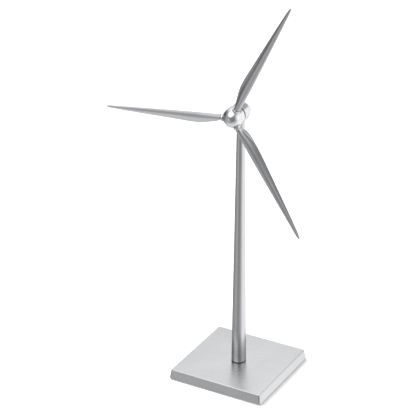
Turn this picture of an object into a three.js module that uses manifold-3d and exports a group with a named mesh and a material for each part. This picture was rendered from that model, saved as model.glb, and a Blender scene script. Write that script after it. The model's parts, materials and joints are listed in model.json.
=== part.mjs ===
// Desktop wind turbine ornament with a magnetic base that holds paper clips.
// Units are millimetres, +Z is up, the front of the turbine looks along -Y.
// The origin is at the centre of the pad's underside, on the table.
import * as THREE from 'three';
import { mergeVertices } from 'three/addons/utils/BufferGeometryUtils.js';
import { ParametricGeometry } from 'three/addons/geometries/ParametricGeometry.js';
import Module from 'manifold-3d';

const wasm = await Module();
wasm.setup();

// ---------------------------------------------------------------- dimensions
const PAD_SIDE = 48.0;          // foam pad, set in from the block's edge
const PAD_CORNER = 3.0;
const PAD_T = 0.6;

const BASE_TOP = 50.0;          // square block, sides lean out toward the bottom
const BASE_BOTTOM = 51.5;
const BASE_T = 4.93;
const BASE_CORNER = 0.9;        // upright corner radius
const BASE_EDGE = 0.45;         // rounding of the top edge
const BASE_Z0 = PAD_T;
const BASE_Z1 = BASE_Z0 + BASE_T;

const POCKET_R = 21.0;          // round pocket under the block
const POCKET_TOP = BASE_Z1 - 1.15;
const BOSS_R = 6.0;             // boss left in the pocket for the tower screw
const BOSS_Z = BASE_Z1 - 1.75;

const PLATE_R = 20.7, PLATE_HOLE = 4.6, PLATE_T = 0.9;
const MAGNET_R = 20.0, MAGNET_HOLE = 7.0, MAGNET_T = 2.6;

const SCREW_R = 1.5, SCREW_HEAD_R = 2.75, SCREW_HEAD_T = 2.0, SCREW_TOP = 12.0;
const WASHER_R = 3.6, WASHER_T = 0.5;

const HUB_Z = 141.3;            // height of the rotor shaft
const OVERHANG = 8.7;           // rotor centre in front of the tower axis
const HEAD_YAW = 4.28;          // degrees the head is turned from square

const TOWER_FOOT_R = 3.73;
const TOWER_TOP_R = 1.92;
const TOWER_TOP = HUB_Z - 4.9;

const PIN_R = 0.8, PIN_Z0 = TOWER_TOP - 8.0, PIN_Z1 = HUB_Z - 2.5;
const PIN_GROOVE_R = 0.55, PIN_GROOVE_Z = PIN_Z1 - 1.0, PIN_GROOVE_W = 0.5;
const FRICTION_R = 1.85, FRICTION_T = 0.25;

const NACELLE_R = 4.55;
const NACELLE_FRONT = 3.05;     // distances behind the rotor centre
const NACELLE_DOME = 8.9;       // where the domed rear begins
const NACELLE_REAR = 13.2;
const GROOVE_R = 3.8, GROOVE_END = 3.7;  // groove between the hub and the nacelle
const NECK_R = 2.15;
const NECK_Z = TOWER_TOP + 0.35;

const SHAFT_R = 0.75;
const SHAFT_FRONT = -2.4, SHAFT_REAR = 10.2;
const SHAFT_GROOVE_W0 = 5.6, SHAFT_GROOVE_W1 = 6.7, SHAFT_GROOVE_R = 0.45;

const HUB_R = 4.95;
const HUB_SKIRT = 2.6;          // straight skirt behind the ball

const BLADE_TIP_R = 65.3;
const BLADE_FIRST = 63.45;      // angle of the upper right blade, seen from the front
const ROOT_PIN_R = 1.25;
const SOCKET_R = 1.85, SOCKET_IN = 4.3, SOCKET_OUT = 5.3;
const CONE_0 = 1.3, CONE_SLOPE = 0.037;  // the blade spar leans forward

const N = 32;                   // facets round the main turned shapes
const NS = 24;                  // facets round the small ones

// ------------------------------------------------------------------- helpers
// Closed profile of [radius, height] pairs turned about +Z.
function turned(profile, segs = NS) {
  const g = new THREE.LatheGeometry(profile.map(([r, z]) => new THREE.Vector2(r, z)), segs);
  g.rotateX(Math.PI / 2);
  return g;
}

function ring(rIn, rOut, z0, z1, segs = NS) {
  return turned([[rIn, z0], [rOut, z0], [rOut, z1], [rIn, z1], [rIn, z0]], segs);
}

function disc(r, z0, z1, segs = NS) {
  return turned([[0, z0], [r, z0], [r, z1], [0, z1]], segs);
}

function solid(geometry) {
  const g = geometry.clone();
  for (const name of Object.keys(g.attributes)) if (name !== 'position') g.deleteAttribute(name);
  const m = mergeVertices(g, 1e-5);
  const p = m.getAttribute('position');
  const keep = [];
  const idx = m.getIndex().array;
  for (let i = 0; i < idx.length; i += 3) {
    const [a, b, c] = [idx[i], idx[i + 1], idx[i + 2]];
    if (a !== b && b !== c && a !== c) keep.push(a, b, c);
  }
  let s = new wasm.Manifold(new wasm.Mesh({
    numProp: 3,
    vertProperties: new Float32Array(p.array),
    triVerts: new Uint32Array(keep),
  }));
  if (s.volume() < 0) {
    for (let i = 0; i < keep.length; i += 3) [keep[i + 1], keep[i + 2]] = [keep[i + 2], keep[i + 1]];
    s = new wasm.Manifold(new wasm.Mesh({
      numProp: 3, vertProperties: new Float32Array(p.array), triVerts: new Uint32Array(keep),
    }));
  }
  return s;
}

function shell(manifold) {
  const m = manifold.getMesh();
  const pos = new Float32Array(m.numVert * 3);
  for (let i = 0; i < m.numVert; i++) {
    for (let k = 0; k < 3; k++) pos[i * 3 + k] = m.vertProperties[i * m.numProp + k];
  }
  const g = new THREE.BufferGeometry();
  g.setAttribute('position', new THREE.BufferAttribute(pos, 3));
  g.setIndex(Array.from(m.triVerts));
  const flat = g.toNonIndexed();
  flat.computeVertexNormals();
  return flat;
}

function mesh(name, manifold, material) {
  const m = new THREE.Mesh(shell(manifold), material);
  m.name = name;
  return m;
}

function metal(color, roughness, metalness = 1.0) {
  return new THREE.MeshStandardMaterial({ color, roughness, metalness });
}

// Rounded square outline, counter-clockwise.
function roundedSquare(side, radius, perCorner) {
  const pts = [];
  const h = side / 2 - radius;
  for (let q = 0; q < 4; q++) {
    const cx = [h, -h, -h, h][q], cy = [h, h, -h, -h][q];
    for (let i = 0; i <= perCorner; i++) {
      const a = (q + i / perCorner) * Math.PI / 2;
      pts.push([cx + radius * Math.cos(a), cy + radius * Math.sin(a)]);
    }
  }
  return pts;
}

// A solid skinned over outlines of equal length, each at its own height.
function skinned(outlines, heights) {
  const n = outlines[0].length;
  const rows = outlines.length;
  const g = new ParametricGeometry((u, v, out) => {
    const i = Math.round(u * n) % n;
    const j = Math.round(v * (rows + 1));
    if (j === 0) out.set(0, 0, heights[0]);
    else if (j === rows + 1) out.set(0, 0, heights[rows - 1]);
    else out.set(outlines[j - 1][i][0], outlines[j - 1][i][1], heights[j - 1]);
  }, n, rows + 1);
  return g;
}

// ---------------------------------------------------------------------- base
const steel = metal('#c9cbce', 0.32);
const root = new THREE.Group();
root.name = 'wind_turbine_ornament';

const pad = solid(skinned(
  [roundedSquare(PAD_SIDE, PAD_CORNER, 5), roundedSquare(PAD_SIDE, PAD_CORNER, 5)],
  [0, PAD_T],
));
root.add(mesh('base_pad', pad, metal('#2b2c2e', 0.95, 0)));

const side = (z) => BASE_BOTTOM + (BASE_TOP - BASE_BOTTOM) * (z - BASE_Z0) / BASE_T;
const rowsZ = [BASE_Z0, BASE_Z0 + 0.2, BASE_Z1 - BASE_EDGE];
const rowsS = [BASE_BOTTOM - 0.4, side(BASE_Z0 + 0.2), side(BASE_Z1 - BASE_EDGE)];
for (let i = 1; i <= 3; i++) {
  const a = i / 3 * Math.PI / 2;
  rowsZ.push(BASE_Z1 - BASE_EDGE + BASE_EDGE * Math.sin(a));
  rowsS.push(side(BASE_Z1 - BASE_EDGE) - 2 * BASE_EDGE * (1 - Math.cos(a)));
}
let block = solid(skinned(rowsS.map((s) => roundedSquare(s, BASE_CORNER, 4)), rowsZ));
// round pocket, with the screw boss standing in its middle
block = block.subtract(solid(turned([
  [BOSS_R, BASE_Z0 - 1], [POCKET_R, BASE_Z0 - 1], [POCKET_R, POCKET_TOP],
  [BOSS_R, POCKET_TOP], [BOSS_R, BASE_Z0 - 1]], 48)));
block = block.subtract(solid(disc(BOSS_R + 0.001, BASE_Z0 - 1, BOSS_Z, 48)));
block = block.subtract(solid(disc(SCREW_R + 0.15, BASE_Z0, BASE_Z1 + 1)));
root.add(mesh('base_block', block, metal('#c4c6c9', 0.34)));

const plateZ = BASE_Z0 + 0.08;
root.add(mesh('backing_plate', solid(ring(PLATE_HOLE, PLATE_R, plateZ, plateZ + PLATE_T, 48)),
  metal('#8f9194', 0.5)));
const magnetZ = plateZ + PLATE_T + 0.03;
root.add(mesh('ring_magnet', solid(ring(MAGNET_HOLE, MAGNET_R, magnetZ, magnetZ + MAGNET_T, 48)),
  metal('#3c3d40', 0.6, 0.4)));

const washerTop = BOSS_Z - 0.03;
root.add(mesh('tower_screw_washer',
  solid(ring(SCREW_R + 0.15, WASHER_R, washerTop - WASHER_T, washerTop)), metal('#a6a8ab', 0.4)));
const headTop = washerTop - WASHER_T - 0.03;
let screw = solid(turned([
  [0, headTop - SCREW_HEAD_T], [SCREW_HEAD_R - 0.5, headTop - SCREW_HEAD_T],
  [SCREW_HEAD_R, headTop - SCREW_HEAD_T + 0.6], [SCREW_HEAD_R, headTop],
  [SCREW_R, headTop], [SCREW_R, SCREW_TOP - 0.4], [SCREW_R - 0.4, SCREW_TOP], [0, SCREW_TOP]]));
// hexagon socket in the head
screw = screw.subtract(solid(new THREE.CylinderGeometry(1.15, 1.15, 1.2, 6)
  .rotateX(Math.PI / 2).translate(0, 0, headTop - SCREW_HEAD_T + 0.5)));
root.add(mesh('tower_screw', screw, metal('#77797d', 0.4)));

// --------------------------------------------------------------------- tower
const towerZ0 = BASE_Z1 + 0.03;
const column = solid(turned([
  [0, towerZ0], [TOWER_FOOT_R - 0.12, towerZ0], [TOWER_FOOT_R, towerZ0 + 0.12],
  [TOWER_TOP_R, TOWER_TOP - 0.12], [TOWER_TOP_R - 0.12, TOWER_TOP], [0, TOWER_TOP]], N))
  .subtract(solid(disc(SCREW_R + 0.05, towerZ0 - 1, SCREW_TOP + 0.5)))
  .subtract(solid(disc(PIN_R + 0.03, PIN_Z0 - 0.3, TOWER_TOP + 1)));
root.add(mesh('tower', column, metal('#c0c2c5', 0.33)));

const grooveA = PIN_GROOVE_Z - PIN_GROOVE_W / 2, grooveB = PIN_GROOVE_Z + PIN_GROOVE_W / 2;
root.add(mesh('yaw_pin', solid(turned([
  [0, PIN_Z0], [PIN_R - 0.2, PIN_Z0], [PIN_R, PIN_Z0 + 0.2], [PIN_R, grooveA],
  [PIN_GROOVE_R, grooveA], [PIN_GROOVE_R, grooveB], [PIN_R, grooveB],
  [PIN_R, PIN_Z1 - 0.2], [PIN_R - 0.2, PIN_Z1], [0, PIN_Z1]])), metal('#b5b7ba', 0.3)));

// rubber ring in the pin's groove, which holds and steadies the head
const oRing = new THREE.TorusGeometry(PIN_GROOVE_R + 0.17, 0.14, 8, NS);
oRing.translate(0, 0, PIN_GROOVE_Z);
root.add(mesh('yaw_o_ring', solid(oRing), metal('#222325', 0.85, 0)));

// ---------------------------------------------------------------------- head
// Inside the head, the rotor axis is the head's own -Y axis.
const head = new THREE.Group();
head.name = 'head';
head.rotation.z = THREE.MathUtils.degToRad(HEAD_YAW);
root.add(head);

// Profile of [radius, distance behind the rotor centre], turned about the shaft.
function onShaft(geometry) {
  // +Z of the turned shape becomes +Y, then it is moved to the rotor centre
  geometry.rotateX(-Math.PI / 2);
  geometry.translate(0, -OVERHANG, HUB_Z);
  return geometry;
}

head.add(mesh('yaw_friction_washer',
  solid(ring(PIN_R + 0.1, FRICTION_R, TOWER_TOP + 0.05, TOWER_TOP + 0.05 + FRICTION_T)),
  metal('#d8d4c8', 0.6, 0)));

const outer = [[0, NACELLE_FRONT], [GROOVE_R - 0.1, NACELLE_FRONT], [GROOVE_R, NACELLE_FRONT + 0.1],
  [GROOVE_R, GROOVE_END], [NACELLE_R - 0.16, GROOVE_END], [NACELLE_R, GROOVE_END + 0.16],
  [NACELLE_R, NACELLE_DOME]];
for (let i = 1; i <= 8; i++) {
  const a = i / 8 * Math.PI / 2;
  outer.push([i === 8 ? 0 : NACELLE_R * Math.cos(a),
    NACELLE_DOME + (NACELLE_REAR - NACELLE_DOME) * Math.sin(a)]);
}
const FLANGE_R = 2.5, FLANGE_T = 0.4, FRONT_BUSH_R = 1.7, FRONT_BUSH_END = 5.3;
const REAR_BUSH_R = 1.5, REAR_BUSH_0 = 7.4, REAR_BUSH_1 = 10.0, BORE_END = 10.6;
let nacelle = solid(onShaft(turned(outer, N)));
nacelle = nacelle.add(solid(disc(NECK_R, NECK_Z, HUB_Z - 3.0)));
nacelle = nacelle.subtract(solid(onShaft(turned([
  [0, NACELLE_FRONT - 1], [FLANGE_R + 0.05, NACELLE_FRONT - 1],
  [FLANGE_R + 0.05, NACELLE_FRONT + FLANGE_T + 0.05], [FRONT_BUSH_R + 0.05, NACELLE_FRONT + FLANGE_T + 0.05],
  [FRONT_BUSH_R + 0.05, FRONT_BUSH_END + 0.15], [REAR_BUSH_R + 0.05, FRONT_BUSH_END + 0.15],
  [REAR_BUSH_R + 0.05, BORE_END], [0, BORE_END]]))));
nacelle = nacelle.subtract(solid(disc(PIN_R + 0.08, NECK_Z - 1, PIN_Z1 + 0.2)));
// threaded hole under the nacelle for the screw that keeps the shaft in
const LOCK_Y = -OVERHANG + (SHAFT_GROOVE_W0 + SHAFT_GROOVE_W1) / 2;
const LOCK_R = 0.45, LOCK_TIP_R = 0.3;
const lockHole = disc(LOCK_R + 0.05, HUB_Z - 6, HUB_Z - 1.0, 16);
lockHole.translate(0, LOCK_Y, 0);
nacelle = nacelle.subtract(solid(lockHole));
head.add(mesh('nacelle_body', nacelle, metal('#cdcfd2', 0.26)));

head.add(mesh('front_bush', solid(onShaft(turned([
  [SHAFT_R + 0.04, NACELLE_FRONT + 0.02], [FLANGE_R, NACELLE_FRONT + 0.02],
  [FLANGE_R, NACELLE_FRONT + FLANGE_T], [FRONT_BUSH_R, NACELLE_FRONT + FLANGE_T],
  [FRONT_BUSH_R, FRONT_BUSH_END], [SHAFT_R + 0.04, FRONT_BUSH_END],
  [SHAFT_R + 0.04, NACELLE_FRONT + 0.02]]))), metal('#b08d4f', 0.38)));
head.add(mesh('rear_bush', solid(onShaft(ring(SHAFT_R + 0.04, REAR_BUSH_R, REAR_BUSH_0, REAR_BUSH_1))),
  metal('#b08d4f', 0.38)));
const lock = turned([[0, HUB_Z - 3.9], [LOCK_R, HUB_Z - 3.9], [LOCK_R, HUB_Z - 1.5],
  [LOCK_TIP_R, HUB_Z - 1.2], [LOCK_TIP_R, HUB_Z - SHAFT_GROOVE_R - 0.08],
  [0, HUB_Z - SHAFT_GROOVE_R - 0.08]], 16);
lock.translate(0, LOCK_Y, 0);
head.add(mesh('shaft_lock_screw', solid(lock), metal('#55575a', 0.45)));

// --------------------------------------------------------------------- rotor
const rotor = new THREE.Group();
rotor.name = 'rotor';
head.add(rotor);

const shaftRear = SHAFT_REAR - 0.2;
rotor.add(mesh('rotor_shaft', solid(onShaft(turned([
  [0, SHAFT_FRONT], [SHAFT_R, SHAFT_FRONT], [SHAFT_R, SHAFT_GROOVE_W0],
  [SHAFT_GROOVE_R, SHAFT_GROOVE_W0], [SHAFT_GROOVE_R, SHAFT_GROOVE_W1],
  [SHAFT_R, SHAFT_GROOVE_W1], [SHAFT_R, shaftRear], [SHAFT_R - 0.2, SHAFT_REAR], [0, SHAFT_REAR]]))),
  metal('#b9bbbe', 0.25)));
rotor.add(mesh('thrust_washer',
  solid(onShaft(ring(SHAFT_R + 0.05, 1.7, HUB_SKIRT + 0.05, HUB_SKIRT + 0.35))), metal('#e4e0d4', 0.55, 0)));

// Blade directions: the angle is measured from +X toward +Z, seen from the front.
const bladeAngles = [BLADE_FIRST + 120, BLADE_FIRST, BLADE_FIRST - 120]
  .map((d) => THREE.MathUtils.degToRad(d));

// In a blade's own frame: +X along the span, +Y toward the leading edge, +Z forward.
function placeBlade(geometry, a) {
  const span = new THREE.Vector3(Math.cos(a), 0, Math.sin(a));
  const lead = new THREE.Vector3(Math.sin(a), 0, -Math.cos(a));
  const fwd = new THREE.Vector3(0, -1, 0);
  const m = new THREE.Matrix4().makeBasis(span, lead, fwd);
  m.setPosition(0, -OVERHANG, HUB_Z);
  geometry.applyMatrix4(m);
  return geometry;
}
const lean = Math.atan(CONE_SLOPE);
// A turned shape whose +Z is the leaning spar axis of the blade.
function onSpar(geometry, a) {
  geometry.rotateY(Math.PI / 2 - lean);
  geometry.translate(0, 0, CONE_0);
  return placeBlade(geometry, a);
}

const ball = [[0, -HUB_R]];
for (let i = 1; i <= 9; i++) {
  const a = -Math.PI / 2 + i / 9 * Math.PI / 2;
  ball.push([HUB_R * Math.cos(a), HUB_R * Math.sin(a)]);
}
ball.push([HUB_R - 0.05, HUB_SKIRT - 0.2], [HUB_R - 0.25, HUB_SKIRT], [3.6, HUB_SKIRT],
  [3.6, HUB_SKIRT - 1.0], [1.7, HUB_SKIRT - 1.0], [1.7, HUB_SKIRT], [0, HUB_SKIRT]);
let hub = solid(onShaft(turned(ball, N)));
hub = hub.subtract(solid(onShaft(disc(SHAFT_R + 0.02, SHAFT_FRONT - 0.1, HUB_SKIRT + 1))));
for (const a of bladeAngles) {
  hub = hub.subtract(solid(onSpar(disc(ROOT_PIN_R + 0.05, 2.3, 6), a)));
  hub = hub.subtract(solid(onSpar(disc(SOCKET_R + 0.04, SOCKET_IN - 0.05, 7), a)));
}
rotor.add(mesh('hub', hub, metal('#d6d8da', 0.14)));

// Section table: distance from the rotor centre, half width and half thickness of
// the rounded spar, leading edge, trailing edge, how far the trailing edge sits
// behind the spar, its half thickness, and how far the fin behind the spar has grown.
const stations = [
  // r  width  thick  lead  trail  back  edge  fin
  [2.45, 1.24, 1.24, 1.24, -1.24, 0.0, 0.25, 0.0],
  [5.42, 1.24, 1.24, 1.24, -1.24, 0.0, 0.25, 0.0],
  [5.75, 1.5, 1.5, 1.5, -1.5, 0.0, 0.4, 0.05],
  [7.0, 1.5, 1.46, 1.5, -1.8, 0.8, 0.8, 0.65],
  [8.5, 1.5, 1.4, 1.48, -2.15, 1.38, 0.84, 1.0],
  [10.0, 1.54, 1.34, 1.47, -2.5, 1.48, 0.78, 1.0],
  [11.5, 1.6, 1.28, 1.45, -2.88, 1.4, 0.7, 1.0],
  [13.0, 1.66, 1.22, 1.43, -3.26, 1.22, 0.56, 1.0],
  [15.2, 1.7, 1.16, 1.4, -3.7, 0.98, 0.37, 1.0],
  [17.6, 1.69, 1.1, 1.38, -3.89, 0.86, 0.27, 1.0],
  [20.5, 1.65, 1.05, 1.34, -3.88, 0.78, 0.226, 1.0],
  [25.0, 1.54, 0.98, 1.26, -3.62, 0.74, 0.218, 1.0],
  [30.0, 1.42, 0.9, 1.18, -3.28, 0.74, 0.208, 1.0],
  [36.0, 1.29, 0.81, 1.06, -2.88, 0.72, 0.197, 1.0],
  [42.0, 1.15, 0.72, 0.93, -2.47, 0.69, 0.186, 1.0],
  [48.0, 1.0, 0.64, 0.82, -2.05, 0.64, 0.177, 1.0],
  [54.0, 0.84, 0.55, 0.73, -1.6, 0.56, 0.166, 1.0],
  [59.0, 0.68, 0.48, 0.66, -1.2, 0.46, 0.158, 1.0],
  [62.6, 0.54, 0.42, 0.58, -0.88, 0.36, 0.15, 1.0],
  [64.2, 0.4, 0.34, 0.44, -0.62, 0.24, 0.14, 1.0],
  [65.0, 0.22, 0.2, 0.24, -0.36, 0.12, 0.12, 1.0],
];
const SPAR_PTS = 12, BACK_PTS = 4, FRONT_PTS = 3;
const SECTION = SPAR_PTS + BACK_PTS + FRONT_PTS;

// One closed section: a rounded spar on the leading side, a crease, then a thin fin.
function section([, width, thick, lead, trail, back, edge, fin], i) {
  const cy = lead - width;
  const from = THREE.MathUtils.degToRad(160), to = THREE.MathUtils.degToRad(-112);
  const under = thick * (1 - 0.14 * fin);
  const oval = (a) => [cy + width * Math.cos(a), (a > 0 ? thick : under) * Math.sin(a)];
  if (i < SPAR_PTS) return oval(from + (to - from) * i / (SPAR_PTS - 1));
  // the rest of the oval, used where there is no fin yet
  const k = i - SPAR_PTS + 1, n = BACK_PTS + FRONT_PTS + 1;
  const turn = to - (2 * Math.PI - (from - to)) * k / n;
  const round = [cy + width * Math.cos(turn), under * Math.sin(turn)];
  const backPt = oval(to), frontPt = oval(from);
  const teBack = [trail + 0.05 - 0.5 * (edge - 0.2), -back - edge];
  const teFront = [trail, -back + edge];
  let p;
  if (k <= BACK_PTS) {
    const f = k / BACK_PTS;
    p = [backPt[0] + (teBack[0] - backPt[0]) * f,
      backPt[1] + (teBack[1] - backPt[1]) * Math.pow(f, 0.8)];
  } else {
    const f = (k - BACK_PTS - 1) / FRONT_PTS;
    const sag = 0.12 * thick * Math.sin(Math.PI * f);
    p = [teFront[0] + (frontPt[0] - teFront[0]) * f,
      teFront[1] + (frontPt[1] - teFront[1]) * f - sag];
  }
  return [round[0] + (p[0] - round[0]) * fin, round[1] + (p[1] - round[1]) * fin];
}

function bladeGeometry() {
  const rows = stations.length;
  return new ParametricGeometry((u, v, out) => {
    const i = Math.round(u * SECTION) % SECTION;
    const j = Math.round(v * (rows + 1));
    if (j === 0) { out.set(stations[0][0], 0, CONE_SLOPE * stations[0][0]); return; }
    if (j === rows + 1) { out.set(BLADE_TIP_R, -0.06, CONE_SLOPE * BLADE_TIP_R - 0.05); return; }
    const st = stations[j - 1];
    const [y, z] = section(st, i);
    out.set(st[0], y, CONE_SLOPE * st[0] + z);
  }, SECTION, rows + 1);
}

bladeAngles.forEach((a, k) => {
  const g = bladeGeometry();
  g.translate(0, 0, CONE_0);
  rotor.add(mesh(`blade_${k + 1}`, solid(placeBlade(g, a)), metal('#b9bbbf', 0.3)));
  const collar = turned([[ROOT_PIN_R + 0.06, SOCKET_IN], [SOCKET_R, SOCKET_IN],
    [SOCKET_R, SOCKET_OUT - 0.2], [SOCKET_R - 0.2, SOCKET_OUT], [ROOT_PIN_R + 0.06, SOCKET_OUT],
    [ROOT_PIN_R + 0.06, SOCKET_IN]]);
  rotor.add(mesh(`blade_collar_${k + 1}`, solid(onSpar(collar, a)), metal('#c9cbce', 0.2)));
});

export default root;
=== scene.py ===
# Looks of the desktop wind turbine ornament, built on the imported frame.
import json
import math

import bmesh
import bpy
import numpy as np
from mathutils import Matrix, Vector


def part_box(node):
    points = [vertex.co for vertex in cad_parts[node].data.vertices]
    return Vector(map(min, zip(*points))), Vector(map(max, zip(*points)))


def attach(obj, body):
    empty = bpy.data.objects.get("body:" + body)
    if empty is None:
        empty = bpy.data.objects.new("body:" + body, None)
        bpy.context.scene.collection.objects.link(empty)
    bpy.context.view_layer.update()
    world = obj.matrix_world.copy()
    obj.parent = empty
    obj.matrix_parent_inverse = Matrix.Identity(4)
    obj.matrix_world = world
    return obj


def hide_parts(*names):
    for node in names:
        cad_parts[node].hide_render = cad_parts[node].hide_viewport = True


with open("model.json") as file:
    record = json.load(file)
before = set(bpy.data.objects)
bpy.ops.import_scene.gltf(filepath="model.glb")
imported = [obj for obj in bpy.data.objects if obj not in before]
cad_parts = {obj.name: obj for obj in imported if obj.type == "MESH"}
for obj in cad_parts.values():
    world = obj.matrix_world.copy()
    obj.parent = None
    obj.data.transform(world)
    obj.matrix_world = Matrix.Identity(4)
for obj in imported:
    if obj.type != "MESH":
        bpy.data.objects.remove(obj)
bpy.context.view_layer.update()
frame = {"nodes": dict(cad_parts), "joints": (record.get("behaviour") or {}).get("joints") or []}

MM = 0.001

# ------------------------------------------------------------ places from the frame
joints = {j["name"]: j for j in frame["joints"]}
hub_c = Vector(joints["rotor_spin"]["pos_m"])          # rotor centre
fwd = Vector(joints["rotor_spin"]["axis"]).normalized()  # rotor axis, to the front
yaw = math.atan2(fwd.x, -fwd.y)
block_lo, block_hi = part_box("base_block")
pad_lo, pad_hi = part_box("base_pad")
tower_lo, tower_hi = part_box("tower")
scene = bpy.context.scene

# Camera first: it stands where the photograph was taken from.
AZ, EL, DIST = math.radians(29.198), math.radians(25.683), 0.8
back = Vector((math.sin(AZ) * math.cos(EL), -math.cos(AZ) * math.cos(EL), math.sin(EL)))
target = Vector((-0.017785, 0.0, 0.08647))
cam_data = bpy.data.cameras.new("camera")
cam = bpy.data.objects.new("camera", cam_data)
scene.collection.objects.link(cam)
cam.location = target + back * DIST
cam.rotation_mode = "QUATERNION"
cam.rotation_quaternion = (-back).to_track_quat("-Z", "Y")
cam_data.sensor_width = 36.0
cam_data.lens = 141.32
cam_data.clip_start, cam_data.clip_end = 0.01, 20.0
scene.camera = cam


# ------------------------------------------------------------------- mesh helpers
def new_object(name, bm, matrix=None, sharp=32.0):
    bmesh.ops.recalc_face_normals(bm, faces=bm.faces)
    me = bpy.data.meshes.new(name)
    bm.to_mesh(me)
    bm.free()
    for p in me.polygons:
        p.use_smooth = True
    me.set_sharp_from_angle(angle=math.radians(sharp))
    if matrix is not None:
        me.transform(matrix)
        if matrix.is_negative:
            me.flip_normals()
    ob = bpy.data.objects.new(name, me)
    scene.collection.objects.link(ob)
    return ob


def own_grain(ob, matrix):
    """Stores each point's place in the piece's own directions, so a grain can follow the piece."""
    back_to_own = matrix.inverted()
    at = ob.data.attributes.new("own", "FLOAT_VECTOR", "POINT")
    flat = [c for v in ob.data.vertices for c in back_to_own @ v.co]
    at.data.foreach_set("vector", flat)


def lathe(profile, segs):
    """A closed body of revolution about +Z from [radius, height] pairs in mm. Radius 0 is a pole."""
    bm = bmesh.new()
    rings = []
    for r, z in profile:
        if r < 1e-6:
            rings.append([bm.verts.new((0, 0, z * MM))])
        else:
            rings.append([bm.verts.new((r * MM * math.cos(2 * math.pi * i / segs),
                                        r * MM * math.sin(2 * math.pi * i / segs), z * MM))
                          for i in range(segs)])
    closed = len(rings[0]) > 1 and len(rings[-1]) > 1
    pairs = list(zip(rings, rings[1:])) + ([(rings[-1], rings[0])] if closed else [])
    for a, b in pairs:
        for i in range(segs):
            j = (i + 1) % segs
            if len(a) == 1 and len(b) == 1:
                continue
            if len(a) == 1:
                bm.faces.new((a[0], b[i], b[j]))
            elif len(b) == 1:
                bm.faces.new((a[i], a[j], b[0]))
            else:
                bm.faces.new((a[i], a[j], b[j], b[i]))
    return bm


def arc(cx, cz, r, a0, a1, n):
    """Points on a circle in the profile plane; angles in degrees from +radius toward +height."""
    return [[cx + r * math.cos(math.radians(a0 + (a1 - a0) * i / n)),
             cz + r * math.sin(math.radians(a0 + (a1 - a0) * i / n))] for i in range(n + 1)]


def skin(outlines):
    """Quads between closed outlines of equal length, capped at both ends. Points in metres."""
    bm = bmesh.new()
    rows = [[bm.verts.new(p) for p in o] for o in outlines]
    n = len(rows[0])
    for a, b in zip(rows, rows[1:]):
        for i in range(n):
            j = (i + 1) % n
            bm.faces.new((a[i], a[j], b[j], b[i]))
    bm.faces.new(rows[0])
    bm.faces.new(rows[-1])
    return bm


def rounded_square(side, radius, per_corner, z):
    h = side / 2 - radius
    out = []
    for q, (cx, cy) in enumerate(((h, h), (-h, h), (-h, -h), (h, -h))):
        for i in range(per_corner + 1):
            a = (q + i / per_corner) * math.pi / 2
            out.append(((cx + radius * math.cos(a)) * MM, (cy + radius * math.sin(a)) * MM, z * MM))
    return out


def cut(ob, tools, operation="DIFFERENCE", sharp=32.0):
    """Applies boolean tools to ob and removes them."""
    for t in tools:
        m = ob.modifiers.new("cut", "BOOLEAN")
        m.operation, m.solver, m.object = operation, "EXACT", t
        bpy.context.view_layer.update()
        dg = bpy.context.evaluated_depsgraph_get()
        me = bpy.data.meshes.new_from_object(ob.evaluated_get(dg), depsgraph=dg)
        ob.modifiers.clear()
        old = ob.data
        ob.data = me
        me.name = ob.name
        bpy.data.meshes.remove(old)
        bpy.data.objects.remove(t)
    bm = bmesh.new()
    bm.from_mesh(ob.data)
    bmesh.ops.remove_doubles(bm, verts=bm.verts[:], dist=2e-6)
    bmesh.ops.dissolve_degenerate(bm, edges=bm.edges[:], dist=1e-6)
    bm.to_mesh(ob.data)
    bm.free()
    for p in ob.data.polygons:
        p.use_smooth = True
    ob.data.set_sharp_from_angle(angle=math.radians(sharp))
    return ob


def add_piece(ob, body, nodes, material):
    ob.data.materials.clear()
    ob.data.materials.append(material)
    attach(ob, body)
    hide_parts(*nodes)
    return ob


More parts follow.
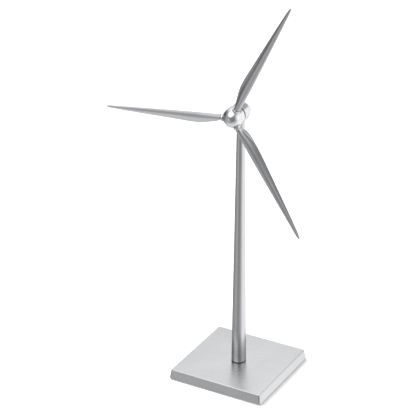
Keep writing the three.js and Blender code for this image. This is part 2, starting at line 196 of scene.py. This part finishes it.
# ---------------------------------------------------------------------- materials
class Mat:
    """Small helper that wires a node tree."""

    def __init__(self, name, own=False):
        self.m = bpy.data.materials.new(name)
        self.m.use_nodes = True
        self.t = self.m.node_tree
        self.t.nodes.clear()
        self.out = self.t.nodes.new("ShaderNodeOutputMaterial")
        self.b = self.t.nodes.new("ShaderNodeBsdfPrincipled")
        self.t.links.new(self.b.outputs["BSDF"], self.out.inputs["Surface"])
        self.co = self.t.nodes.new("ShaderNodeTexCoord").outputs["Object"]
        if own:
            n = self.t.nodes.new("ShaderNodeAttribute")
            n.attribute_name = "own"
            self.co = n.outputs["Vector"]

    def link(self, a, b):
        self.t.links.new(a, b)

    def stretched(self, scale):
        n = self.t.nodes.new("ShaderNodeMapping")
        n.inputs["Scale"].default_value = scale
        self.link(self.co, n.inputs["Vector"])
        return n.outputs["Vector"]

    def noise(self, scale, detail=3.0, rough=0.55, co=None, distortion=0.0):
        n = self.t.nodes.new("ShaderNodeTexNoise")
        n.inputs["Scale"].default_value = scale
        n.inputs["Detail"].default_value = detail
        n.inputs["Roughness"].default_value = rough
        n.inputs["Distortion"].default_value = distortion
        self.link(co or self.co, n.inputs["Vector"])
        return n.outputs["Fac"]

    def voronoi(self, scale, feature="F1"):
        n = self.t.nodes.new("ShaderNodeTexVoronoi")
        n.feature = feature
        n.inputs["Scale"].default_value = scale
        self.link(self.co, n.inputs["Vector"])
        return n.outputs["Distance"]

    def remap(self, v, a, b, c, d, smooth=False):
        n = self.t.nodes.new("ShaderNodeMapRange")
        if smooth:
            n.interpolation_type = "SMOOTHSTEP"
        for k, x in zip(("From Min", "From Max", "To Min", "To Max"), (a, b, c, d)):
            n.inputs[k].default_value = x
        self.link(v, n.inputs["Value"])
        return n.outputs["Result"]

    def math(self, op, a, b):
        n = self.t.nodes.new("ShaderNodeMath")
        n.operation = op
        for i, x in enumerate((a, b)):
            if hasattr(x, "is_linked"):
                self.link(x, n.inputs[i])
            else:
                n.inputs[i].default_value = x
        return n.outputs[0]

    def mix(self, fac, a, b):
        n = self.t.nodes.new("ShaderNodeMix")
        n.data_type = "RGBA"
        self.link(fac, n.inputs["Factor"])
        for name, x in (("A", a), ("B", b)):
            s = [i for i in n.inputs if i.name == name and i.type == "RGBA"][0]
            if hasattr(x, "is_linked"):
                self.link(x, s)
            else:
                s.default_value = (*x, 1)
        return [o for o in n.outputs if o.type == "RGBA"][0]

    def bump(self, height, strength, distance, normal=None):
        n = self.t.nodes.new("ShaderNodeBump")
        n.inputs["Strength"].default_value = strength
        n.inputs["Distance"].default_value = distance
        self.link(height, n.inputs["Height"])
        if normal is not None:
            self.link(normal, n.inputs["Normal"])
        return n.outputs["Normal"]

    def pointiness(self):
        return self.t.nodes.new("ShaderNodeNewGeometry").outputs["Pointiness"]


def metal(name, dark, light, rough, grain=None, blast=1.0, edge=0.0, aniso=0.0, cloud=1.0, own=False, groove_shade=None, foot_shade=None, nose=0.0):
    """Plated or cast metal: clouded tone, a satin grain, worn edges and faint handling marks; optionally painted shade
    toward a foot and in a groove.
    """
    m = Mat(name, own)
    clouds = m.noise(55.0, 4.0, 0.6)
    tone = m.remap(clouds, 0.36, 0.64, 0.5 - 0.5 * cloud, 0.5 + 0.5 * cloud)
    colour = m.mix(tone, dark, light)
    lo, hi = rough
    fine = m.noise(2600.0, 2.0, 0.6, m.stretched(grain) if grain else None)
    smudge = m.noise(120.0, 5.0, 0.65, distortion=0.6)
    r = m.math("ADD", m.remap(fine, 0.3, 0.7, lo, hi), m.remap(smudge, 0.45, 0.75, 0.0, 0.05))
    if edge > 0:
        worn = m.remap(m.pointiness(), 0.52, 0.60, 0.0, 1.0, True)
        worn = m.math("MULTIPLY", worn, m.remap(m.noise(900.0, 3.0), 0.35, 0.6, 0.3, 1.0))
        colour = m.mix(m.math("MULTIPLY", worn, edge), colour, tuple(min(1.0, c * 1.12) for c in light))
        r = m.math("SUBTRACT", r, m.math("MULTIPLY", worn, 0.08 * edge))
    if nose:
        # a duller band along the rounded leading edge, which narrows toward the tip
        split = m.t.nodes.new("ShaderNodeSeparateXYZ")
        m.link(m.co, split.inputs[0])
        along = m.math("MULTIPLY", split.outputs["X"], 0.0052)
        across = m.math("SUBTRACT", m.math("ADD", split.outputs["Y"], along), 0.55 * MM)
        r = m.math("ADD", r, m.remap(across, 0.0, 0.4 * MM, 0.0, nose, True))
    if foot_shade:
        # painted shade: a duller, darker tone toward the foot, and a darker painted line at the seam just above its
        # bottom edge
        z_in, z_out, share, seam_in, seam_out, seam_share = foot_shade
        split = m.t.nodes.new("ShaderNodeSeparateXYZ")
        m.link(m.co, split.inputs[0])
        foot_shade_mask = m.remap(split.outputs["Z"], z_in * MM, z_out * MM, 1.0, 0.0, True)
        colour = m.mix(m.math("MULTIPLY", foot_shade_mask, share), colour, (0.05, 0.05, 0.055))
        seam_shade_mask = m.remap(split.outputs["Z"], seam_in * MM, seam_out * MM, 1.0, 0.0)
        colour = m.mix(m.math("MULTIPLY", seam_shade_mask, seam_share), colour, (0.03, 0.03, 0.032))
    if groove_shade:
        # painted shade in the unpolished groove, a dark tone with added roughness, told by its distance from the
        # piece's own axis and its height on it
        r_in, r_out, z_in, z_out = (x * MM for x in groove_shade)
        far_off = m.t.nodes.new("ShaderNodeVectorMath")
        far_off.operation = "LENGTH"
        m.link(m.stretched((1, 1, 0)), far_off.inputs[0])
        split = m.t.nodes.new("ShaderNodeSeparateXYZ")
        m.link(m.co, split.inputs[0])
        groove = m.math("MULTIPLY", m.remap(far_off.outputs["Value"], r_in, r_out, 1.0, 0.0),
                        m.remap(split.outputs["Z"], z_in, z_out, 1.0, 0.0))
        colour = m.mix(groove, colour, (0.10, 0.10, 0.105))
        r = m.math("ADD", r, m.math("MULTIPLY", groove, 0.35))
    m.link(colour, m.b.inputs["Base Color"])
    m.link(r, m.b.inputs["Roughness"])
    m.b.inputs["Metallic"].default_value = 1.0
    if aniso:
        m.b.inputs["Anisotropic"].default_value = aniso
    n = m.bump(m.noise(1500.0, 3.0, 0.6, m.stretched(grain) if grain else None), 0.10 * blast, 0.00006)
    n = m.bump(m.noise(300.0, 2.0, 0.5), 0.05 * blast, 0.0003, n)
    m.link(n, m.b.inputs["Normal"])
    return m.m


MAT_BASE = metal("satin_base", (0.63, 0.635, 0.65), (0.70, 0.70, 0.705), (0.25, 0.31), edge=0.8, cloud=0.55, blast=0.2)
# the tower's material paints shade toward its foot and along its seam with the base
MAT_TOWER = metal("satin_tower", (0.66, 0.665, 0.68), (0.72, 0.72, 0.73), (0.19, 0.25), grain=(1, 1, 0.05), cloud=0.5, blast=0.3,
                  foot_shade=(9.0, 22.0, 0.42, 5.85, 6.2, 0.8))
MAT_BLADE = metal("satin_blade", (0.62, 0.625, 0.645), (0.68, 0.68, 0.69), (0.27, 0.33), grain=(0.06, 1, 1), edge=0.5, cloud=0.5, blast=0.3,
                  own=True, nose=0.3)
# the nacelle's material paints shade in the groove behind the hub
MAT_NACELLE = metal("satin_nacelle", (0.74, 0.745, 0.755), (0.80, 0.80, 0.805), (0.17, 0.23), edge=0.4, cloud=0.4, blast=0.4,
                    own=True, groove_shade=(4.36, 4.46, 4.3, 4.6))
MAT_HUB = metal("polished_hub", (0.76, 0.765, 0.775), (0.82, 0.82, 0.825), (0.10, 0.15), edge=0.3, cloud=0.4, blast=0.4)
MAT_COLLAR = metal("polished_collar", (0.72, 0.725, 0.735), (0.80, 0.80, 0.805), (0.14, 0.20), edge=0.6, blast=0.4)
MAT_STEEL = metal("plain_steel", (0.44, 0.445, 0.455), (0.58, 0.585, 0.59), (0.32, 0.46), edge=0.8)
MAT_BRASS = metal("bush_brass", (0.62, 0.46, 0.24), (0.74, 0.58, 0.33), (0.26, 0.38), edge=0.5)


def dull(name, dark, light, rough, cell, bump, metallic=0.0, distance=0.0002):
    """Foam, rubber, plastic or ferrite: mottled tone over a pebbled or cellular surface."""
    m = Mat(name)
    m.link(m.mix(m.remap(m.noise(260.0, 5.0, 0.65), 0.35, 0.65, 0.0, 1.0), dark, light), m.b.inputs["Base Color"])
    m.link(m.remap(m.noise(700.0, 3.0), 0.3, 0.7, *rough), m.b.inputs["Roughness"])
    m.b.inputs["Metallic"].default_value = metallic
    n = m.bump(m.voronoi(cell), bump, distance)
    n = m.bump(m.noise(cell * 2.5, 3.0), bump * 0.5, distance, n)
    m.link(n, m.b.inputs["Normal"])
    return m.m


MAT_PAD = dull("foam_pad", (0.035, 0.035, 0.037), (0.07, 0.07, 0.072), (0.82, 0.98), 1400.0, 0.6)
MAT_RUBBER = dull("seal_rubber", (0.02, 0.02, 0.021), (0.035, 0.035, 0.036), (0.5, 0.62), 2500.0, 0.15)
MAT_NYLON = dull("washer_nylon", (0.72, 0.70, 0.64), (0.80, 0.78, 0.73), (0.42, 0.55), 2200.0, 0.1)
MAT_MAGNET = dull("ferrite_magnet", (0.045, 0.045, 0.05), (0.10, 0.10, 0.105), (0.5, 0.7), 1800.0, 0.35, metallic=0.4)

for node, mat in {
    "backing_plate": MAT_STEEL, "tower_screw_washer": MAT_STEEL, "tower_screw": MAT_STEEL,
    "yaw_pin": MAT_STEEL, "shaft_lock_screw": MAT_STEEL, "rotor_shaft": MAT_STEEL,
    "front_bush": MAT_BRASS, "rear_bush": MAT_BRASS, "ring_magnet": MAT_MAGNET,
    "yaw_o_ring": MAT_RUBBER, "yaw_friction_washer": MAT_NYLON, "thrust_washer": MAT_NYLON,
}.items():
    o = frame["nodes"][node]
    o.data.materials.clear()
    o.data.materials.append(mat)

# --------------------------------------------------------------------------- base
Z0, Z1 = block_lo.z / MM, block_hi.z / MM
BOTTOM = (block_hi.x - block_lo.x) / MM          # measured just above the bottom edge
TOP, EDGE, CORNER = 50.0, 0.45, 0.9
lean = (TOP - 51.5) / (Z1 - Z0)


def side_at(z):
    return 51.5 + lean * (z - Z0)


rows = [(51.1, Z0), (51.24, Z0 + 0.03), (51.36, Z0 + 0.09), (side_at(Z0 + 0.2), Z0 + 0.2)]
for k in range(1, 6):
    z = Z0 + 0.2 + (Z1 - EDGE - Z0 - 0.2) * k / 6
    rows.append((side_at(z), z))
for k in range(0, 9):
    a = k / 8 * math.pi / 2
    rows.append((side_at(Z1 - EDGE) - 2 * EDGE * (1 - math.cos(a)), Z1 - EDGE + EDGE * math.sin(a)))
block = new_object("satin_base_block", skin([rounded_square(s, CORNER, 10, z) for s, z in rows]))
POCKET_TOP, BOSS_Z = Z1 - 1.15, Z1 - 1.75
pocket = new_object("t1", lathe([[6.0, Z0 - 1], [21.0, Z0 - 1], [21.0, POCKET_TOP], [6.0, POCKET_TOP]], 96))
boss = new_object("t2", lathe([[0, Z0 - 1], [6.001, Z0 - 1], [6.001, BOSS_Z], [0, BOSS_Z]], 96))
hole = new_object("t3", lathe([[0, Z0], [1.65, Z0], [1.65, Z1 + 1], [0, Z1 + 1]], 48))
cut(block, [pocket, boss, hole])
add_piece(block, "stand", ["base_block"], MAT_BASE)

PAD_SIDE = (pad_hi.x - pad_lo.x) / MM
PZ0, PZ1 = pad_lo.z / MM, pad_hi.z / MM
pad_rows = [(PAD_SIDE - 0.25, PZ0), (PAD_SIDE - 0.05, PZ0 + 0.06), (PAD_SIDE, PZ0 + 0.15),
            (PAD_SIDE - 0.06, (PZ0 + PZ1) / 2), (PAD_SIDE, PZ1 - 0.15), (PAD_SIDE - 0.05, PZ1 - 0.06), (PAD_SIDE - 0.25, PZ1)]
pad = new_object("foam_base_pad", skin([rounded_square(s, 3.0, 12, z) for s, z in pad_rows]), sharp=50)
add_piece(pad, "stand", ["base_pad"], MAT_PAD)

# -------------------------------------------------------------------------- tower
TZ0, TZ1 = tower_lo.z / MM, tower_hi.z / MM
FOOT_R, TOP_R, SCREW_TOP, PIN_BOTTOM = 3.73, 1.92, 12.5, TZ1 - 8.3
profile = [[0, SCREW_TOP], [1.55, SCREW_TOP], [1.55, TZ0], [FOOT_R - 0.32, TZ0]]
profile += arc(FOOT_R - 0.3, TZ0 + 0.3, 0.3, -85, 0, 6)
for k in range(1, 40):
    f = k / 40
    profile.append([FOOT_R + (TOP_R - FOOT_R) * f, TZ0 + 0.3 + (TZ1 - TZ0 - 0.42) * f])
profile += arc(TOP_R - 0.12, TZ1 - 0.12, 0.12, 0, 80, 5)
profile += [[0.83, TZ1], [0.83, PIN_BOTTOM], [0, PIN_BOTTOM]]
tower = new_object("satin_tower", lathe(profile, 96))
add_piece(tower, "stand", ["tower"], MAT_TOWER)

# --------------------------------------------------------------------------- head
# +Z of a turned shape becomes the direction behind the rotor centre.
on_shaft = Matrix.Translation(hub_c) @ Matrix.Rotation(yaw, 4, "Z") @ Matrix.Rotation(-math.pi / 2, 4, "X")
upright = Matrix.Rotation(yaw, 4, "Z")
OVERHANG = math.hypot(hub_c.x, hub_c.y) / MM
HZ = hub_c.z / MM
NR, NF, ND, NE = 4.55, 3.05, 8.9, 13.2
NG_R, NG_END = 3.8, 4.0                            # groove behind the hub
profile = [[0, NF]] + [[2.7, NF]] + arc(NG_R - 0.1, NF + 0.1, 0.1, -90, 0, 4) + [[NG_R, NG_END]]
profile += arc(NR - 0.16, NG_END + 0.16, 0.16, -90, 0, 6)
for k in range(1, 9):
    profile.append([NR, NG_END + 0.16 + (ND - NG_END - 0.16) * k / 9])
for k in range(0, 25):
    a = k / 24 * math.pi / 2
    profile.append([NR * math.cos(a) if k < 24 else 0, ND + (NE - ND) * math.sin(a)])
nacelle = new_object("satin_nacelle", lathe(profile, 96), on_shaft)
NECK_Z = TZ1 + 0.32
neck = new_object("t4", lathe([[0, NECK_Z]] + [[1.6, NECK_Z]] + arc(2.15 - 0.12, NECK_Z + 0.12, 0.12, -90, 0, 5)
                              + [[2.15, HZ - 3.9], [2.3, HZ - 3.75], [2.3, HZ - 3.0], [0, HZ - 3.0]], 72), upright)
cut(nacelle, [neck], "UNION")
bore = new_object("t5", lathe([[0, NF - 1], [2.55, NF - 1], [2.55, NF + 0.45], [1.75, NF + 0.45], [1.75, 5.45],
                               [1.55, 5.45], [1.55, 10.6], [0, 10.6]], 64), on_shaft)
pin_hole = new_object("t6", lathe([[0, NECK_Z - 1], [0.88, NECK_Z - 1], [0.88, HZ - 2.3], [0, HZ - 2.3]], 48), upright)
lock_hole = new_object("t7", lathe([[0, HZ - 6], [0.5, HZ - 6], [0.5, HZ - 1.0], [0, HZ - 1.0]], 32),
                       upright @ Matrix.Translation((0, (-OVERHANG + 6.15) * MM, 0)))
cut(nacelle, [bore, pin_hole, lock_hole])
own_grain(nacelle, on_shaft)
add_piece(nacelle, "head", ["nacelle_body"], MAT_NACELLE)

# -------------------------------------------------------------------------- rotor
ROOT = 1.25
CONE_0, CONE = 1.3, 0.037
box1, box2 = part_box("blade_1"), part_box("blade_2")
phi = math.radians(63.45)
angles = [phi + 2 * math.pi / 3, phi, phi - 2 * math.pi / 3]


def blade_frame(a):
    """Columns: along the span, toward the leading edge, forward."""
    m = Matrix(((math.cos(a), math.sin(a), 0, 0), (0, 0, -1, 0), (math.sin(a), -math.cos(a), 0, 0), (0, 0, 0, 1)))
    return Matrix.Translation(hub_c) @ Matrix.Rotation(yaw, 4, "Z") @ m


def spar_frame(a):
    return blade_frame(a) @ Matrix.Translation((0, 0, CONE_0 * MM)) @ Matrix.Rotation(math.pi / 2 - math.atan(CONE), 4, "Y")


HR, SKIRT = 4.95, 2.6
profile = []
for k in range(0, 33):
    a = -math.pi / 2 + k / 32 * math.pi / 2
    profile.append([HR * math.cos(a) if k else 0, HR * math.sin(a)])
profile += [[HR - 0.015, 0.7], [HR - 0.03, 1.4]]
profile += arc(HR - 0.05 - 0.22, SKIRT - 0.22, 0.22, 0, 90, 6)
profile += [[3.6, SKIRT], [3.6, SKIRT - 1.0], [1.7, SKIRT - 1.0], [1.7, SKIRT], [0.77, SKIRT], [0.77, -2.5], [0, -2.5]]
hub = new_object("polished_hub", lathe(profile, 96), on_shaft)
tools = []
for i, a in enumerate(angles):
    tools.append(new_object(f"t8{i}", lathe([[0, 2.3], [1.30, 2.3], [1.30, 6], [0, 6]], 48), spar_frame(a)))
    tools.append(new_object(f"t9{i}", lathe([[0, 4.25], [1.89, 4.25], [1.89, 7], [0, 7]], 48), spar_frame(a)))
cut(hub, tools)
add_piece(hub, "rotor", ["hub"], MAT_HUB)

# distance from the rotor centre, half width and half thickness of the spar, leading edge,
# trailing edge, trailing edge behind the spar, its half thickness, fin share
STATIONS = np.array([
    [2.45, 1.24, 1.24, 1.24, -1.24, 0.0, 0.25, 0.0],
    [5.38, 1.24, 1.24, 1.24, -1.24, 0.0, 0.25, 0.0],
    [5.75, 1.5, 1.5, 1.5, -1.5, 0.0, 0.4, 0.05],
    [7.0, 1.5, 1.46, 1.5, -1.8, 0.8, 0.8, 0.65],
    [8.5, 1.5, 1.4, 1.48, -2.15, 1.38, 0.84, 1.0],
    [10.0, 1.54, 1.34, 1.47, -2.5, 1.48, 0.78, 1.0],
    [11.5, 1.6, 1.28, 1.45, -2.88, 1.4, 0.7, 1.0],
    [13.0, 1.68, 1.22, 1.47, -3.26, 1.22, 0.56, 1.0],
    [15.2, 1.74, 1.16, 1.48, -3.7, 0.98, 0.37, 1.0],
    [17.6, 1.75, 1.1, 1.5, -3.89, 0.86, 0.27, 1.0],
    [20.5, 1.72, 1.05, 1.48, -3.88, 0.78, 0.226, 1.0],
    [25.0, 1.615, 0.98, 1.41, -3.62, 0.74, 0.218, 1.0],
    [30.0, 1.495, 0.9, 1.33, -3.28, 0.74, 0.208, 1.0],
    [36.0, 1.365, 0.81, 1.21, -2.88, 0.72, 0.197, 1.0],
    [42.0, 1.22, 0.72, 1.07, -2.47, 0.69, 0.186, 1.0],
    [48.0, 1.055, 0.64, 0.93, -2.05, 0.64, 0.177, 1.0],
    [54.0, 0.87, 0.55, 0.79, -1.6, 0.56, 0.166, 1.0],
    [59.0, 0.68, 0.48, 0.66, -1.2, 0.46, 0.158, 1.0],
    [62.6, 0.54, 0.42, 0.58, -0.88, 0.36, 0.15, 1.0],
    [64.2, 0.4, 0.34, 0.44, -0.62, 0.24, 0.14, 1.0],
    [65.0, 0.22, 0.2, 0.24, -0.36, 0.12, 0.12, 1.0],
    [65.28, 0.06, 0.06, 0.0, -0.12, 0.03, 0.04, 1.0],
])


def smooth_at(x):
    """Shape-preserving cubic through the station table."""
    X, Y = STATIONS[:, 0], STATIONS[:, 1:]
    h = np.diff(X)
    d = np.diff(Y, axis=0) / h[:, None]
    m = np.zeros_like(Y)
    for i in range(1, len(X) - 1):
        same = d[i - 1] * d[i] > 0
        w1, w2 = 2 * h[i] + h[i - 1], h[i] + 2 * h[i - 1]
        with np.errstate(divide="ignore", invalid="ignore"):
            v = (w1 + w2) / (w1 / d[i - 1] + w2 / d[i])
        m[i] = np.where(same, v, 0)
    m[0], m[-1] = d[0], d[-1]
    i = int(np.clip(np.searchsorted(X, x) - 1, 0, len(X) - 2))
    t = (x - X[i]) / h[i]
    return ((2 * t**3 - 3 * t**2 + 1) * Y[i] + (t**3 - 2 * t**2 + t) * h[i] * m[i]
            + (-2 * t**3 + 3 * t**2) * Y[i + 1] + (t**3 - t**2) * h[i] * m[i + 1])


SPAR_N, BACK_N, EDGE_N, FRONT_N = 34, 12, 3, 12


def blade_section(x):
    width, thick, lead, trail, behind, edge, fin = smooth_at(x)
    cy = lead - width
    a_from, a_to = math.radians(142), math.radians(-112)
    under = thick * (1 - 0.14 * fin)

    def oval(a):
        return (cy + width * math.cos(a), (thick if a > 0 else under) * math.sin(a))

    pts = [oval(a_from + (a_to - a_from) * i / (SPAR_N - 1)) for i in range(SPAR_N)]
    n = BACK_N + EDGE_N + FRONT_N + 1
    back_p, front_p = oval(a_to), oval(a_from)
    te_b = (trail + 0.05 - 0.5 * (edge - 0.2), -behind - edge)
    te_f = (trail, max(-behind + edge, front_p[1] - 0.625 * (front_p[0] - trail)))
    for k in range(1, n):
        a = a_to - (2 * math.pi - (a_from - a_to)) * k / n
        ring = (cy + width * math.cos(a), under * math.sin(a))
        if k <= BACK_N:
            f = k / BACK_N
            p = (back_p[0] + (te_b[0] - back_p[0]) * f, back_p[1] + (te_b[1] - back_p[1]) * f**0.8)
        elif k <= BACK_N + EDGE_N:
            f = (k - BACK_N) / (EDGE_N + 1)
            p = (te_b[0] + (te_f[0] - te_b[0]) * f - 0.05 * math.sin(math.pi * f), te_b[1] + (te_f[1] - te_b[1]) * f)
        else:
            f = (k - BACK_N - EDGE_N - 1) / FRONT_N
            sag = 0.12 * thick * math.sin(math.pi * f)
            p = (te_f[0] + (front_p[0] - te_f[0]) * f, te_f[1] + (front_p[1] - te_f[1]) * f - sag)
        pts.append((ring[0] + (p[0] - ring[0]) * fin, ring[1] + (p[1] - ring[1]) * fin))
    return pts


xs = [2.45, 3.4, 4.4, 5.3, 5.38, 5.5, 5.62, 5.75, 5.9] + list(np.linspace(6.1, 22.0, 46)) + list(np.linspace(22.6, 62.0, 56)) \
    + list(62.6 + 2.68 * np.sin(np.linspace(0, math.pi / 2, 16)))
outlines = [[(x * MM, y * MM, (CONE_0 + CONE * x + z) * MM) for y, z in blade_section(x)] for x in xs]
for i, a in enumerate(angles):
    k = i + 1
    blade = new_object(f"satin_blade_{k}", skin(outlines), blade_frame(a), sharp=50)
    own_grain(blade, blade_frame(a))
    add_piece(blade, "rotor", [f"blade_{k}"], MAT_BLADE)
    ring = [[ROOT + 0.06, 4.3], [1.70, 4.3]] + arc(1.72, 4.43, 0.13, -90, 0, 4) \
        + arc(1.62, 5.07, 0.23, 0, 90, 7) + arc(ROOT + 0.06 + 0.08, 5.22, 0.08, 90, 180, 3)
    collar = new_object(f"polished_collar_{k}", lathe(ring, 64), spar_frame(a))
    add_piece(collar, "rotor", [f"blade_collar_{k}"], MAT_COLLAR)

# --------------------------------------------------------------------- the studio
bm = bmesh.new()
rings = [[bm.verts.new((0, 0, 0))]]
for r in (0.05, 0.1, 0.2, 0.4, 0.7, 1.0, 1.3, 1.6):
    rings.append([bm.verts.new((r * math.cos(k * math.pi / 48), r * math.sin(k * math.pi / 48), 0)) for k in range(96)])
for a_ring, b_ring in zip(rings, rings[1:]):
    for k in range(96):
        j = (k + 1) % 96
        if len(a_ring) == 1:
            bm.faces.new((a_ring[0], b_ring[k], b_ring[j]))
        else:
            bm.faces.new((a_ring[k], b_ring[k], b_ring[j], a_ring[j]))
me = bpy.data.meshes.new("floor")
bm.to_mesh(me)
bm.free()
floor = bpy.data.objects.new("floor", me)
scene.collection.objects.link(floor)
fm = Mat("pale_floor")
fm.link(fm.mix(fm.remap(fm.noise(6.0, 2.0), 0.3, 0.7, 0.0, 1.0), (0.90, 0.90, 0.905), (0.93, 0.93, 0.93)), fm.b.inputs["Base Color"])
fm.b.inputs["Roughness"].default_value = 0.5
fm.b.inputs["Specular IOR Level"].default_value = 0.2
away = fm.t.nodes.new("ShaderNodeVectorMath")     # the floor fades into the white background
away.operation = "LENGTH"
fm.link(fm.co, away.inputs[0])
glow = fm.t.nodes.new("ShaderNodeEmission")
glow.inputs["Strength"].default_value = 1.05
fade = fm.t.nodes.new("ShaderNodeMixShader")
fm.link(fm.remap(away.outputs["Value"], 0.7, 1.45, 0.0, 1.0, True), fade.inputs["Fac"])
fm.link(fm.b.outputs["BSDF"], fade.inputs[1])
fm.link(glow.outputs["Emission"], fade.inputs[2])
fm.link(fade.outputs["Shader"], fm.out.inputs["Surface"])
floor.data.materials.append(fm.m)


def direction(az, el):
    a, e = math.radians(az), math.radians(el)
    return Vector((math.sin(a) * math.cos(e), -math.cos(a) * math.cos(e), math.sin(e)))


# World: a bright studio with soft panels. Each lobe is a smooth patch of light round a direction.
world = bpy.data.worlds.new("studio")
scene.world = world
world.use_nodes = True
wt = world.node_tree
wt.nodes.clear()
w_out = wt.nodes.new("ShaderNodeOutputWorld")
w_co = wt.nodes.new("ShaderNodeTexCoord").outputs["Generated"]


def w_math(op, a, b):
    n = wt.nodes.new("ShaderNodeMath")
    n.operation = op
    for i, x in enumerate((a, b)):
        if hasattr(x, "is_linked"):
            wt.links.new(x, n.inputs[i])
        else:
            n.inputs[i].default_value = x
    return n.outputs[0]


def w_lobe(az, el, inner, outer):
    """1 within inner degrees of the direction, 0 beyond outer degrees."""
    dot = wt.nodes.new("ShaderNodeVectorMath")
    dot.operation = "DOT_PRODUCT"
    wt.links.new(w_co, dot.inputs[0])
    dot.inputs[1].default_value = direction(az, el)
    n = wt.nodes.new("ShaderNodeMapRange")
    n.interpolation_type = "SMOOTHSTEP"
    n.inputs["From Min"].default_value = math.cos(math.radians(outer))
    n.inputs["From Max"].default_value = math.cos(math.radians(inner))
    wt.links.new(dot.outputs["Value"], n.inputs["Value"])
    return n.outputs["Result"]


LOBES = [  # azimuth, elevation, inner, outer, change of level
    (128, -5, 30, 82, 0.74),     # bright right and back
    (74, 14, 4, 34, 0.28),       # bright at the right, above the table
    (-158, 36, 16, 60, 0.45),    # bright behind, above
    (180, 80, 20, 60, 0.45),     # ceiling
    (-17, 49, 16, 40, 1.1),      # soft box over the front left
    (-20, -88, 20, 62, 0.18),    # table light from below
    (16, 2, 8, 42, -0.16),       # dim room in front
    (-28, -14, 4, 20, 0.20),     # paler patch of the table
    (60, -58, 6, 44, 0.22),      # table light at the right
    (-60, -66, 10, 36, 0.24),    # table light at the left
    (163, 35, 11, 28, -1.0),     # dim ceiling corner behind
    (180, -3, 6, 26, -0.45),     # dim wall behind
    (-100, 2, 10, 40, -0.30),    # dim room at the left
]
level = 0.40
for az, el, inner, outer, change in LOBES:
    level = w_math("ADD", level, w_math("MULTIPLY", w_lobe(az, el, inner, outer), change))
grey = wt.nodes.new("ShaderNodeBackground")
wt.links.new(level, grey.inputs["Strength"])
grey.inputs["Color"].default_value = (0.985, 0.99, 1.0, 1)
white = wt.nodes.new("ShaderNodeBackground")
white.inputs["Color"].default_value = (1, 1, 1, 1)
white.inputs["Strength"].default_value = 1.05
path = wt.nodes.new("ShaderNodeLightPath")
mixer = wt.nodes.new("ShaderNodeMixShader")
wt.links.new(path.outputs["Is Camera Ray"], mixer.inputs["Fac"])
wt.links.new(grey.outputs["Background"], mixer.inputs[1])
wt.links.new(white.outputs["Background"], mixer.inputs[2])
wt.links.new(mixer.outputs["Shader"], w_out.inputs["Surface"])


def panel(name, az, el, dist, size, watts, aim=(0, 0, 0.07)):
    data = bpy.data.lights.new(name, "AREA")
    data.shape, data.size, data.size_y, data.energy = "RECTANGLE", size[0], size[1], watts
    ob = bpy.data.objects.new(name, data)
    scene.collection.objects.link(ob)
    d = direction(az, el)
    ob.location = Vector(aim) + d * dist
    ob.rotation_mode = "QUATERNION"
    ob.rotation_quaternion = (-d).to_track_quat("-Z", "Y")
    return ob


top_light = panel("top_light", -88, 62, 1.2, (0.45, 0.45), 13.0)
top_light.visible_glossy = False
floor.visible_glossy = False

scene.view_settings.view_transform = "Standard"
scene.view_settings.look = "None"
scene.view_settings.exposure = 0.0
scene.view_settings.gamma = 1.0
